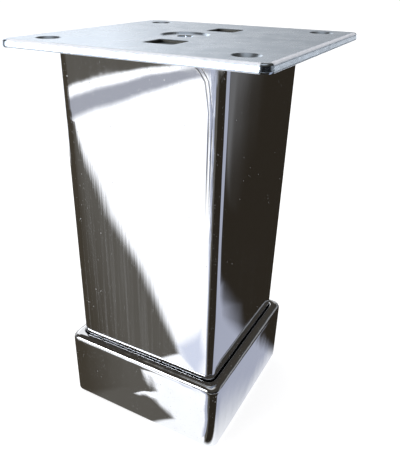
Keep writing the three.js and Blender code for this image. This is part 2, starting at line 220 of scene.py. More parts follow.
def mark_edges(mesh, centre, half, top, round_off):
    """Stores each vertex's distance in millimetres from the near upright edge and a top height.

    Lines of equal distance turn from along the edge to along the top in a round corner."""
    edge = mesh.attributes.new("edge_mm", "FLOAT", "POINT")
    for vertex in mesh.vertices:
        p = vertex.co / MM
        across = max(half - p.x + centre.x, half + p.y - centre.y)
        below = top - p.z
        value = min(across, below)
        if across < round_off and below < round_off:
            value = round_off - math.hypot(round_off - across, round_off - below)
        edge.data[vertex.index].value = value


def add_piece(mesh, body, node, material, sharp=40.0):
    """Links a finished mesh, given in metres, as a piece that rides on a body and replaces a CAD node."""
    mesh.materials.append(material)
    mesh.shade_smooth()
    mesh.set_sharp_from_angle(angle=math.radians(sharp))
    piece = bpy.data.objects.new(mesh.name, mesh)
    bpy.context.scene.collection.objects.link(piece)
    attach(piece, body)
    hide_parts(node)
    return piece


def mesh_of(name, points, faces):
    """A mesh in metres from points in millimetres."""
    mesh = bpy.data.meshes.new(name)
    mesh.from_pydata([Vector(p) * MM for p in points], [], faces)
    mesh.validate()
    mesh.update()
    return mesh


# ---------------------------------------------------------------- nodes


def new_material(name):
    """An empty node material and its tree."""
    material = bpy.data.materials.new(name)
    material.use_nodes = True
    material.node_tree.nodes.clear()
    return material, material.node_tree


def add(tree, kind, inputs=None, **settings):
    """A shader node with its settings; an input given as a socket is linked, any other is set."""
    made = tree.nodes.new("ShaderNode" + kind)
    for key, value in settings.items():
        setattr(made, key, value)
    for key, value in (inputs or {}).items():
        if isinstance(value, bpy.types.NodeSocket):
            tree.links.new(value, made.inputs[key])
        else:
            made.inputs[key].default_value = value
    return made


def calc(tree, operation, a, b=0.0):
    """The result of one sum on two values."""
    return add(tree, "Math", {0: a, 1: b}, operation=operation).outputs[0]


def product(tree, *values):
    """The product of several values."""
    result = values[0]
    for value in values[1:]:
        result = calc(tree, "MULTIPLY", result, value)
    return result


def object_point(tree, scale=(1.0, 1.0, 1.0)):
    """The point on the surface in the piece's own metres, stretched by a scale."""
    point = add(tree, "TexCoord").outputs["Object"]
    return add(tree, "Mapping", {"Vector": point, "Scale": scale}).outputs[0]


def vertex_mark(tree, name):
    """A value stored on the mesh's vertices."""
    return add(tree, "Attribute", attribute_name=name).outputs["Fac"]


def noise(tree, scale, detail=2.0, roughness=0.5, stretch=(1.0, 1.0, 1.0)):
    """Smooth noise on the surface, 0 to 1, with a scale per metre and a stretch along each axis."""
    point = object_point(tree, stretch)
    inputs = {"Vector": point, "Scale": scale, "Detail": detail, "Roughness": roughness}
    return add(tree, "TexNoise", inputs).outputs[0]


def remap(tree, value, low, high, to_low=0.0, to_high=1.0, smooth=False):
    """A value moved from one range to another and kept inside it."""
    inputs = {0: value, 1: low, 2: high, 3: to_low, 4: to_high}
    kind = "SMOOTHSTEP" if smooth else "LINEAR"
    return add(tree, "MapRange", inputs, interpolation_type=kind, clamp=True).outputs[0]


def mix_colour(tree, factor, a, b):
    """A colour between a at factor 0 and b at factor 1."""
    inputs = {0: factor, 6: a, 7: b}
    return add(tree, "Mix", inputs, data_type="RGBA", clamp_factor=True).outputs[2]


def mix_value(tree, factor, a, b):
    """A value between a at factor 0 and b at factor 1."""
    inputs = {0: factor, 2: a, 3: b}
    return add(tree, "Mix", inputs, data_type="FLOAT", clamp_factor=True).outputs[0]


def bump(tree, height, depth_mm, normal=None):
    """A surface normal bent by a height map whose full range is depth_mm high."""
    inputs = {"Height": height, "Strength": 1.0, "Distance": depth_mm * MM}
    if normal is not None:
        inputs["Normal"] = normal
    return add(tree, "Bump", inputs).outputs[0]


def bumps(tree, layers):
    """A surface normal bent by several height maps in turn, each with its depth in millimetres."""
    normal = None
    for height, depth_mm in layers:
        normal = bump(tree, height, depth_mm, normal)
    return normal


def specks(tree, per_metre, radius_share, keep):
    """Small round marks, 1 on a mark and 0 elsewhere, in a random share of the cells."""
    cells = add(tree, "TexVoronoi", {"Vector": object_point(tree), "Scale": per_metre})
    near = calc(tree, "LESS_THAN", cells.outputs["Distance"], radius_share)
    chance = add(tree, "SeparateColor", {0: cells.outputs["Color"]}).outputs[0]
    return product(tree, near, calc(tree, "LESS_THAN", chance, keep))


def hairlines(tree, per_metre, turn, width):
    """Fine winding marks, 1 on a mark."""
    point = add(tree, "TexCoord").outputs["Object"]
    scale = (per_metre, per_metre, per_metre)
    turned = add(tree, "Mapping", {"Vector": point, "Rotation": turn, "Scale": scale}).outputs[0]
    lines = add(tree, "TexNoise", {"Vector": turned, "Scale": 1.0, "Detail": 1.0}).outputs[0]
    near = calc(tree, "ABSOLUTE", calc(tree, "SUBTRACT", lines, 0.5))
    return remap(tree, near, 0.0, width, 1.0, 0.0)


def groove_line_painted_dark(tree, edge, reach, width):
    """A fine line at one distance from the near upright edge, in millimetres."""
    off = calc(tree, "ABSOLUTE", calc(tree, "SUBTRACT", edge, reach))
    return remap(tree, off, 0.0, width, 1.0, 0.0, True)


def finish_material(tree, inputs):
    """Closes a material with one Principled surface."""
    surface = add(tree, "BsdfPrincipled", inputs)
    output = add(tree, "OutputMaterial")
    tree.links.new(surface.outputs[0], output.inputs["Surface"])


# ---------------------------------------------------------------- materials


def front_marks(tree, place, edge_work):
    """Masks of the rubbed band and of the fine grooves beside the front face's near edge, also painted
    dark.
    """
    edge = vertex_mark(tree, "edge_mm")
    on_front = remap(tree, place.outputs[1], *FRONT_FACE_END, edge_work, 0.0)
    band = remap(tree, edge, *RUBBED_BAND, 1.0, 0.0, True)
    rubbed = product(tree, band, on_front, remap(tree, place.outputs[2], *RUBBED_FADE, 0.0, 1.0, True))
    lines = [groove_line_painted_dark(tree, edge, reach, width) for reach, width in POLISH_LINES_PAINTED_DARK]
    broken = remap(tree, noise(tree, 45.0), 0.3, 0.5)
    high_up = remap(tree, place.outputs[2], *POLISH_LINE_PAINTED_DARK_FADE, 0.0, 1.0, True)
    grooves_painted_dark = product(tree, calc(tree, "ADD", *lines), broken, on_front, high_up)
    return rubbed, grooves_painted_dark


def chrome_dust(tree, dust_share, streaks, worn, edge_work):
    """How much dust hides the chrome: specks in patches, and a thin haze along the streaks."""
    coarse = specks(tree, 430.0, 0.10, dust_share * 0.5)
    fine = product(tree, specks(tree, 1100.0, 0.15, dust_share), 0.55)
    patch = remap(tree, noise(tree, 60.0), 0.36, 0.66, 0.05, 0.6)
    dust = product(tree, calc(tree, "MAXIMUM", coarse, fine), patch)
    haze = product(tree, remap(tree, streaks, 0.48, 0.74, 0.0, 0.07), worn, edge_work)
    return calc(tree, "MAXIMUM", dust, haze)


def chrome(name, wave_mm, wave_depth, streak_depth, dust_share, dent_depth, edge_work):
    """Polished chrome with slow waves, upright polishing streaks, smudges and dust.

    With edge_work 1 its front face is rubbed and grooved beside the near upright edge, and the grooves
    are painted near black as a painted reflection."""
    material, tree = new_material(name)
    place = add(tree, "SeparateXYZ", {0: object_point(tree)})
    rubbed, grooves_painted_dark = front_marks(tree, place, edge_work)
    streaks = noise(tree, 900.0, 2.0, 0.6, (1.0, 1.0, 0.012))
    worn_low = remap(tree, place.outputs[2], *STREAK_HEIGHTS, 1.0, 0.22, True)
    worn_left = remap(tree, place.outputs[0], *STREAK_PLACES, 1.0, 0.12, True)
    worn = product(tree, worn_low, worn_left)
    ribs = noise(tree, 1500.0, stretch=(1.0, 1.0, 0.05))
    normal = bumps(tree, [
        (noise(tree, 1 / (wave_mm * MM), 1.0, stretch=(1.0, 1.0, 0.6)), wave_depth),
        (noise(tree, 330.0, 3.0, 0.6, (1.0, 1.0, 0.7)), dent_depth),
        (product(tree, streaks, worn), streak_depth),
        (noise(tree, 2600.0, 1.0, stretch=(1.0, 1.0, 0.03)), streak_depth * 0.12),
        (product(tree, ribs, rubbed), streak_depth * 2.0),
        (grooves_painted_dark, -0.006),
    ])
    smudge = remap(tree, noise(tree, 38.0, 4.0, 0.62), 0.5, 0.78, 0.0, 1.0, True)
    dust = chrome_dust(tree, dust_share, streaks, worn, edge_work)
    clean = mix_colour(tree, smudge, (0.84, 0.86, 0.90, 1), (0.80, 0.82, 0.85, 1))
    # Painted reflection: the grooves turn near black, as the dark double line the rolled-off border
    # mirrors.
    marked = mix_colour(tree, product(tree, grooves_painted_dark, 0.9), clean, (0.07, 0.067, 0.065, 1))
    finish_material(tree, {
        "Base Color": mix_colour(tree, dust, marked, (0.6, 0.6, 0.6, 1)),
        "Metallic": mix_value(tree, dust, 1.0, 0.2),
        "Roughness": mix_value(tree, dust, mix_value(tree, smudge, 0.025, 0.085), 0.75),
        "Normal": normal,
    })
    return material


def zinc(name, rough_low, rough_high, grain_depth, brightness=1.0):
    """Bright zinc plating: satin, faintly mottled, with a rolled grain and light handling marks.

    The vertex mark rim is rougher, ragged metal on the rolled and burred edges, paler and less metallic
    there as a painted highlight, or smoother sheared metal below 0; bare is unplated, duller metal on
    hole and window walls, darkened as painted shade."""
    material, tree = new_material(name)
    rim = vertex_mark(tree, "rim")
    bare_with_painted_shade = vertex_mark(tree, "bare_with_painted_shade")
    ragged = noise(tree, 900.0, 3.0, 0.7)
    normal = bumps(tree, [
        (noise(tree, 2200.0, 2.0, 0.6, (1.0, 0.06, 1.0)), grain_depth),
        (noise(tree, 1500.0), grain_depth * 0.5),
        (product(tree, ragged, rim), 0.10),
    ])
    rough = remap(tree, noise(tree, 170.0, 3.0, 0.6), 0.3, 0.7, rough_low, rough_high)
    rough = calc(tree, "ADD", rough, product(tree, hairlines(tree, 260.0, (0.0, 0.0, 0.5), 0.006), 0.1))
    rough = calc(tree, "ADD", rough, product(tree, rim, 0.32))
    low_tone = [c * brightness for c in (0.59, 0.69, 0.81)]
    high_tone = [c * brightness for c in (0.66, 0.765, 0.90)]
    tone = mix_colour(tree, noise(tree, 32.0), (*low_tone, 1.0), (*high_tone, 1.0))
    # Painted highlight: the rolled and burred edges turn paler and less metallic and show as a white
    # band.
    pale_edge_highlight = remap(tree, product(tree, rim, calc(tree, "ADD", ragged, 0.3)), 0.15, 0.8)
    tone = mix_colour(tree, pale_edge_highlight, tone, (0.80, 0.82, 0.88, 1))
    finish_material(tree, {
        # Painted shade: hole and window walls are darkened almost to black.
        "Base Color": mix_colour(tree, bare_with_painted_shade, tone, (0.13, 0.13, 0.12, 1)),
        "Metallic": mix_value(tree, pale_edge_highlight, 1.0, 0.25),
        "Roughness": mix_value(tree, bare_with_painted_shade, rough, 0.5),
        "Normal": normal,
    })
    return material


def steel(name):
    """Plain machined steel with turning marks and an oily tint."""
    material, tree = new_material(name)
    turning = noise(tree, 2600.0, stretch=(0.15, 0.15, 1.0))
    tint = noise(tree, 140.0, 3.0)
    finish_material(tree, {
        "Base Color": mix_colour(tree, tint, (0.42, 0.41, 0.40, 1), (0.56, 0.55, 0.53, 1)),
        "Metallic": 1.0,
        "Roughness": remap(tree, tint, 0.3, 0.7, 0.28, 0.46),
        "Normal": bump(tree, turning, 0.012),
    })
    return material


def moulded(name, dark, light, rough, texture_mm, depth):
    """Moulded plastic or rubber with a fine texture and scuffs."""
    material, tree = new_material(name)
    skin = noise(tree, 1 / (texture_mm * MM), 3.0, 0.6)
    scuff = remap(tree, noise(tree, 240.0, 4.0, 0.65), 0.55, 0.72)
    finish_material(tree, {
        "Base Color": mix_colour(tree, scuff, dark, light),
        "Roughness": mix_value(tree, scuff, rough, rough + 0.15),
        "Normal": bump(tree, skin, depth),
    })
    return material


tube_chrome = chrome(
    "tube_chrome", wave_mm=26.0, wave_depth=0.16, streak_depth=0.012,
    dust_share=0.4, dent_depth=0.002, edge_work=1.0,
)
collar_chrome = chrome(
    "collar_chrome", wave_mm=9.0, wave_depth=0.34, streak_depth=0.005,
    dust_share=0.7, dent_depth=0.028, edge_work=0.0,
)
plate_zinc = zinc("plate_zinc", 0.24, 0.34, 0.006)
screw_zinc = zinc("screw_zinc", 0.16, 0.26, 0.003)
# Painted shade: the bridge seen through the windows is darkened to a third of the zinc's tone; it is
# duller too.
dull_zinc_painted_shade = zinc("dull_zinc_painted_shade", 0.45, 0.6, 0.01, 0.35)
plain_steel = steel("plain_steel")
black_nylon = moulded(
    "black_nylon", (0.018, 0.018, 0.019, 1), (0.05, 0.05, 0.052, 1),
    rough=0.42, texture_mm=0.35, depth=0.03,
)
pad_rubber = moulded(
    "pad_rubber", (0.028, 0.028, 0.028, 1), (0.075, 0.072, 0.068, 1),
    rough=0.72, texture_mm=0.18, depth=0.05,
)


# ---------------------------------------------------------------- pieces


def tube_profile(half, low, high):
    """The tube's outside from its foot to its rolled top, as half widths and heights."""
    profile = [(half - r, z) for r, z in ((TUBE_EDGE, low), (0.1, low + 0.1), (0.0, low + TUBE_EDGE))]
    profile += [(half, low + rise) for rise in (1, 3)]
    steps = 14
    start = low + 8
    span = high - TOP_ROLL_REACH - start
    profile += [(half, start + span * k / steps) for k in range(steps + 1)]
    for k in range(1, 11):
        below = TOP_ROLL_REACH * (1 - k / 10) + 0.1
        profile.append((half - TOP_ROLL * (1 - below / TOP_ROLL_REACH) ** 2, high - below))
    return profile + [(half - TOP_ROLL - 0.15, high)]


def make_column_tube():
    """The square tube, its faces rolled off a little towards the corners and the top."""
    low, high = box_mm("column_tube")
    centre = (low + high) / 2
    half = (high.x - low.x) / 2
    stops = share_stops(2 * (half - TUBE_CORNER))
    rings = [
        square_ring(centre, h, TUBE_CORNER, z, CORNER_ROLLS, stops)
        for h, z in tube_profile(half, low.z, high.z)
    ]
    inner = half - TUBE_WALL
    for z in (high.z, high.z - 0.3, (low.z + high.z) / 2, low.z + 0.3, low.z):
        rings.append(square_ring(centre, inner, TUBE_CORNER - TUBE_WALL, z, stops=stops))
    mesh = mesh_of("column_tube_fine", *loft(rings, closed=True))
    mark_edges(mesh, centre, half, high.z + MARK_TOP, MARK_ROUND)
    add_piece(mesh, "leg", "column_tube", tube_chrome)


def skirt_outside(half, low, high):
    """The skirt's outside and its mouth, as half widths, corner radii and heights, going up."""
    shoulder = SKIRT_SHOULDER
    profile = [(h, SKIRT_CORNER, z) for h, z in arc(half - 0.4, low + 0.4, 0.4, -90, 0, 4)]
    profile += [(half, SKIRT_CORNER, z) for z in (low + 1, low + 3, 8.0, 14.0, 20.0, 25.0, 28.0)]
    lip_share = (SKIRT_CORNER - SKIRT_MOUTH_CORNER) / (half - SKIRT_MOUTH_HALF)
    for h, z in arc(half - shoulder, high - shoulder, shoulder, 0, 90, 12):
        profile.append((h, SKIRT_CORNER - (half - h) * lip_share, z))
    lip = arc(SKIRT_MOUTH_HALF + 0.25, high - 0.25, 0.25, 90, 180, 3)
    under = high - SKIRT_WALL
    lip += [(SKIRT_MOUTH_HALF, under + 0.2), (SKIRT_MOUTH_HALF + 0.2, under)]
    return profile + [(h, SKIRT_MOUTH_CORNER, z) for h, z in lip]


def skirt_inside(half, low, high):
    """The skirt's inside and its hem, as half widths, corner radii and heights, going down."""
    shoulder = SKIRT_SHOULDER
    inner = half - SKIRT_WALL
    corner = SKIRT_CORNER - SKIRT_WALL
    hem_top = low + SKIRT_HEM
    walls = arc(half - shoulder, high - shoulder, shoulder - SKIRT_WALL, 90, 0, 5)
    walls += [(inner, 20.0), (inner, 8.0), (inner, hem_top + 1.0)]
    walls += arc(inner - 0.8, hem_top + 0.8, 0.8, 0, -90, 4)
    hem = arc(SKIRT_HEM_HALF + 0.3, hem_top - 0.3, 0.3, 90, 180, 3)
    hem += arc(SKIRT_HEM_HALF + 0.3, low + 0.3, 0.3, 180, 270, 3)
    return [(h, corner, z) for h, z in walls] + [(h, SKIRT_HEM_CORNER, z) for h, z in hem]


def make_foot_skirt():
    """The collar round the tube's foot: round shoulder, narrow lip, hem turned in underneath."""
    low, high = box_mm("foot_skirt")
    centre = (low + high) / 2
    half = (high.x - low.x) / 2
    profile = skirt_outside(half, low.z, high.z) + skirt_inside(half, low.z, high.z)
    stops = share_stops(2 * (half - SKIRT_CORNER))
    rings = [square_ring(centre, h, c, z, stops=stops) for h, c, z in profile]
    mesh = mesh_of("foot_skirt_fine", *loft(rings, closed=True))
    add_piece(mesh, "foot", "foot_skirt", collar_chrome)


def plate_outline(centre, half, inset, z, raggedness):
    """The plate's outline in steps of about a millimetre, its inset uneven along a rolled edge."""
    corner = PLATE_CORNER - inset
    count = 84
    stops = [k / count for k in range(count + 1)]
    ring = square_ring(centre, half - inset, max(corner, 0.3), z, stops=stops, arc_steps=8)
    if raggedness == 0.0:
        return ring
    moved = []
    for x, y, height in ring:
        point = Vector((x, y, 0.0))
        pull = raggedness * lattice.noise(point * 0.55)
        inward = (Vector((centre.x, centre.y, 0.0)) - point).normalized()
        point += inward * pull
        moved.append((point.x, point.y, height))
    return moved


def add_loft(bm, rings, layer=None, marks=None, corner_mark=None):
    """Adds lofted rings to a bmesh, marks each ring's vertices, and returns the first and last rings.

    A corner mark replaces the mark of a vertex that lies near one of the plate's corners."""
    made = []
    for k, ring in enumerate(rings):
        verts = [bm.verts.new(p) for p in ring]
        if marks is not None:
            for v in verts:
                at_corner = min(abs(v.co.x), abs(v.co.y)) > PLATE_CORNER_START
                use_corner = corner_mark is not None and at_corner
                v[layer] = corner_mark if use_corner else marks[k]
        made.append(verts)
    count = len(rings[0])
    for below, above in zip(made, made[1:]):
        for i in range(count):
            j = (i + 1) % count
            bm.faces.new((below[i], below[j], above[j], above[i]))
    return made[0], made[-1]


def ring_edges(bm, verts):
    """The edges that join a ring of vertices."""
    return [bm.edges.get((a, b)) for a, b in zip(verts, verts[1:] + verts[:1])]


def add_plate_edge(bm, layer, under, top):
    """The plate's edge: burred below, drafted, ragged and rolled above. Returns its end rings."""
    low, high = box_mm("mounting_plate")
    centre = (low + high) / 2
    half = (high.x - low.x) / 2
    draft = PLATE_DRAFT
    rows = (
        # inset, height, raggedness, mark
        (PLATE_BURR + 0.25, under, 0.0, 0.0),
        (PLATE_BURR, under, 0.05, 0.8),
        (0.06, under + 0.22, 0.06, 0.6),
        (0.0, under + 0.4, 0.0, 0.0),
        (0.01, under + 0.5, 0.0, -0.25),
        (draft - 0.01, top - PLATE_ROLL - 0.1, 0.0, -0.25),
        (draft + 0.02, top - PLATE_ROLL, 0.02, 0.3),
        (draft + 0.10, top - PLATE_ROLL * 0.62, 0.06, 0.9),
        (draft + 0.30, top - PLATE_ROLL * 0.30, 0.16, 1.0),
        (draft + 0.62, top - PLATE_ROLL * 0.10, 0.30, 1.0),
        (draft + 1.05, top - 0.015, 0.45, 0.9),
        (draft + 1.9, top, 0.0, 0.0),
    )
    rings = [plate_outline(centre, half, inset, z, ragged) for inset, z, ragged, mark in rows]
    return add_loft(bm, rings, layer, [mark for *_, mark in rows], PLATE_CORNER_MARK)


def add_screw_hole(bm, layer, hole, under, top):
    """A countersunk hole. Returns its upper and lower rings."""
    cone_low = top - (SINK_RADIUS - SCREW_HOLE_RADIUS)
    rows = (
        # radius, height, unplated wall darkened as painted shade
        (SINK_RADIUS + 0.1, top, 0.0),
        (SINK_RADIUS, top - 0.03, 0.05),
        (SINK_RADIUS - 0.12, top - 0.15, 0.2),
        (SCREW_HOLE_RADIUS + 0.1, cone_low + 0.05, 0.35),
        (SCREW_HOLE_RADIUS, cone_low - 0.1, 1.0),
        (SCREW_HOLE_RADIUS, under + 0.2, 1.0),
        (SCREW_HOLE_RADIUS + 0.2, under, 0.5),
    )
    rings = [circle_ring(hole, radius, z, 40) for radius, z, bare_with_painted_shade in rows]
    return add_loft(bm, rings, layer, [bare_with_painted_shade for *_, bare_with_painted_shade in rows])


def add_window(bm, layer, window, under, top):
    """A square window with eased edges. Returns its upper and lower rings."""
    stops = [k / 6 for k in range(7)]
    rows = (
        # growth, height, unplated wall darkened as painted shade
        (0.5, top, 0.0),
        (0.2, top - 0.05, 0.0),
        (0.0, top - 0.25, 1.0),
        (0.0, under + 0.2, 1.0),
        (0.2, under, 0.5),
    )
    rings = [
        square_ring(window, WINDOW_HALF + g, WINDOW_CORNER + g, z, stops=stops, arc_steps=5)
        for g, z, bare_with_painted_shade in rows
    ]
    return add_loft(bm, rings, layer, [bare_with_painted_shade for *_, bare_with_painted_shade in rows])


def add_dish(bm, axis, dish_low, under, top):
    """The dished seat of the screw, from the plate's top to its underside. Returns its end rings."""
    rows = (
        # radius, height
        (DISH_TOP_RADIUS + 0.15, top),
        (DISH_TOP_RADIUS, top - 0.05),
        (DISH_TOP_RADIUS - 0.22, top - 0.26),
        (DISH_LOW_RADIUS + 0.3, dish_low + 1.2),
        (DISH_LOW_RADIUS, dish_low + 0.9),
        (DISH_LOW_RADIUS, dish_low + 0.1),
        (DISH_LOW_RADIUS + 0.1, dish_low),
        (DISH_SKIN_LOW - 0.2, dish_low),
        (DISH_SKIN_LOW + 0.2, dish_low + 0.2),
        (DISH_SKIN_HIGH - 0.3, under - 0.3),
        (DISH_SKIN_HIGH, under - 0.08),
        (DISH_SKIN_HIGH + 0.5, under),
    )
    return add_loft(bm, [circle_ring(axis, radius, z, 72) for radius, z in rows])


def make_mounting_plate():
    """The top plate: rolled upper edge, burred lower edge, countersinks, windows and dished centre."""
    low, high = box_mm("mounting_plate")
    centre = (low + high) / 2
    top = high.z
    under = box_mm("column_tube")[1].z
    axis = middle_mm("column_tube")
    bm = bmesh.new()
    rim = bm.verts.layers.float.new("rim")
    bare_with_painted_shade = bm.verts.layers.float.new("bare_with_painted_shade")
    bottom_ring, top_ring = add_plate_edge(bm, rim, under, top)
    openings = []
    for sx in (-1, 1):
        for sy in (-1, 1):
            hole = Vector((centre.x + sx * SCREW_HOLE_REACH, centre.y + sy * SCREW_HOLE_REACH, 0.0))
            openings.append(add_screw_hole(bm, bare_with_painted_shade, hole, under, top))
    for sy in (-1, 1):
        window = Vector((axis.x + WINDOW_SIDESTEP, axis.y + sy * WINDOW_REACH, 0.0))
        openings.append(add_window(bm, bare_with_painted_shade, window, under, top))
    openings.append(add_dish(bm, axis, low.z, under, top))
    tops = [top_ring] + [upper for upper, lower in openings]
    bottoms = [bottom_ring] + [lower for upper, lower in openings]
    for rings in (tops, bottoms):
        edges = [e for ring in rings for e in ring_edges(bm, ring)]
        bmesh.ops.triangle_fill(bm, use_beauty=True, use_dissolve=False, edges=edges)
    bmesh.ops.recalc_face_normals(bm, faces=bm.faces)
    bmesh.ops.scale(bm, vec=(MM, MM, MM), verts=bm.verts)
    mesh = bpy.data.meshes.new("mounting_plate_fine")
    bm.to_mesh(mesh)
    bm.free()
    piece = add_piece(mesh, "leg", "mounting_plate", plate_zinc)
    even = piece.modifiers.new("even_normals", "WEIGHTED_NORMAL")
    even.keep_sharp = True


def thread_rings(centre, start, end):
    """The ridges of a screw's thread, going down."""
    rings = []
    z = start
    while z > end:
        rings.append(circle_ring(centre, SHANK_RADIUS - 0.65, z, 60))
        rings.append(circle_ring(centre, THREAD_RADIUS, z - 0.55, 60))
        rings.append(circle_ring(centre, THREAD_RADIUS, z - 0.7, 60))
        z -= THREAD_PITCH
    return rings


def make_plate_screw():
    """The countersunk socket screw in the dish, with a rolled thread below its head."""
    low, high = box_mm("plate_screw")
    centre = (low + high) / 2
    head = (high.x - low.x) / 2
    top = high.z
    neck = top - (head - SHANK_RADIUS)
    floor = top - HEX_DEPTH
    outside = (
        # radius, height
        (HEX_SOCKET * 1.17, top - 0.02),
        (3.4, top),
        (head - 1.0, top),
        (head - 0.5, top - 0.04),
        (head - 0.1, top - 0.16),
        (head, top - 0.35),
        (head - 0.1, top - 0.55),
        (SHANK_RADIUS + 0.2, neck + 0.2),
        (THREAD_RADIUS, neck - 0.3),
    )
    rings = [circle_ring(centre, 0.4, floor - 0.5, 60), polygon_ring(centre, HEX_SOCKET - 0.15, 6, floor)]
    rings += [polygon_ring(centre, HEX_SOCKET, 6, z) for z in (floor + 0.15, top - 0.35)]
    rings += [circle_ring(centre, radius, z, 60) for radius, z in outside]
    rings += thread_rings(centre, neck - 0.8, low.z + 1.6)
    rings.append(circle_ring(centre, SHANK_RADIUS - 0.7, low.z, 60))
    mesh = mesh_of("plate_screw_fine", *loft(list(reversed(rings)), caps=(True, True)))
    add_piece(mesh, "leg", "plate_screw", screw_zinc, 30.0)


def make_thrust_washer():
    """The turning washer below the spindle's flange, with broken edges, just clear of the liner."""
    low, high = box_mm("thrust_washer")
    centre = (low + high) / 2
    outer = (high.x - low.x) / 2
    under = low.z + WASHER_LIFT
    edge = WASHER_EDGE
    profile = (
        # radius, height
        (outer - edge, under),
        (outer, under + edge),
        (outer, high.z - edge),
        (outer - edge, high.z),
        (WASHER_BORE + edge, high.z),
        (WASHER_BORE, high.z - edge),
        (WASHER_BORE, under + edge),
        (WASHER_BORE + edge, under),
    )
    rings = [circle_ring(centre, radius, z) for radius, z in profile]
    mesh = mesh_of("thrust_washer_fine", *loft(rings, closed=True))
    add_piece(mesh, "spindle", "thrust_washer", screw_zinc, 30.0)


make_column_tube()
make_foot_skirt()
make_mounting_plate()
make_plate_screw()
make_thrust_washer()

# The finishes of the CAD nodes that stay, with the starts of the nodes' names.
CARRIED = (
    (screw_zinc, ("clamp_washer", "clamp_nut", "base_screw_")),
    (dull_zinc_painted_shade, ("top_bridge",)),
    (plain_steel, ("threaded_bush", "spindle", "stop_nut", "retaining_clip")),
    (black_nylon, ("lower_insert", "guide_liner", "foot_base")),
    (pad_rubber, ("glide_pad_",)),
)


def dress_carried_nodes():
    """Gives the CAD nodes that stay their finishes, soft edges and smooth shading."""
    for material, starts in CARRIED:
        for name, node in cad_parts.items():
            if node.hide_render or not name.startswith(starts):
                continue
            node.data.materials.clear()
            node.data.materials.append(material)
            node.data.shade_smooth()
            node.data.set_sharp_from_angle(angle=math.radians(30))
            soften = node.modifiers.new("soft_edges", "BEVEL")
            soften.width = 0.12 * MM
            soften.segments = 2
            soften.limit_method = "ANGLE"
            soften.angle_limit = math.radians(35)
            soften.harden_normals = True


dress_carried_nodes()


# ---------------------------------------------------------------- studio

FLOOR_REACH = 6.0
FLOOR_GLOW = 0.72

# Colours of the painted reflections below: warm, olive and brown darks, greys, and lilac greys of shaded
# floor.
DARK_WARM = (0.118, 0.109, 0.093, 1)
DARK_OLIVE = (0.060, 0.050, 0.036, 1)
DARK_BROWN = (0.026, 0.021, 0.015, 1)
SMOKE_GREY = (0.150, 0.148, 0.148, 1)
BAND_GREY = (0.43, 0.44, 0.49, 1)
MID_LILAC = (0.42, 0.44, 0.53, 1)
PALE_LILAC = (0.76, 0.80, 0.93, 1)
EDGE_LILAC = (0.50, 0.53, 0.64, 1)

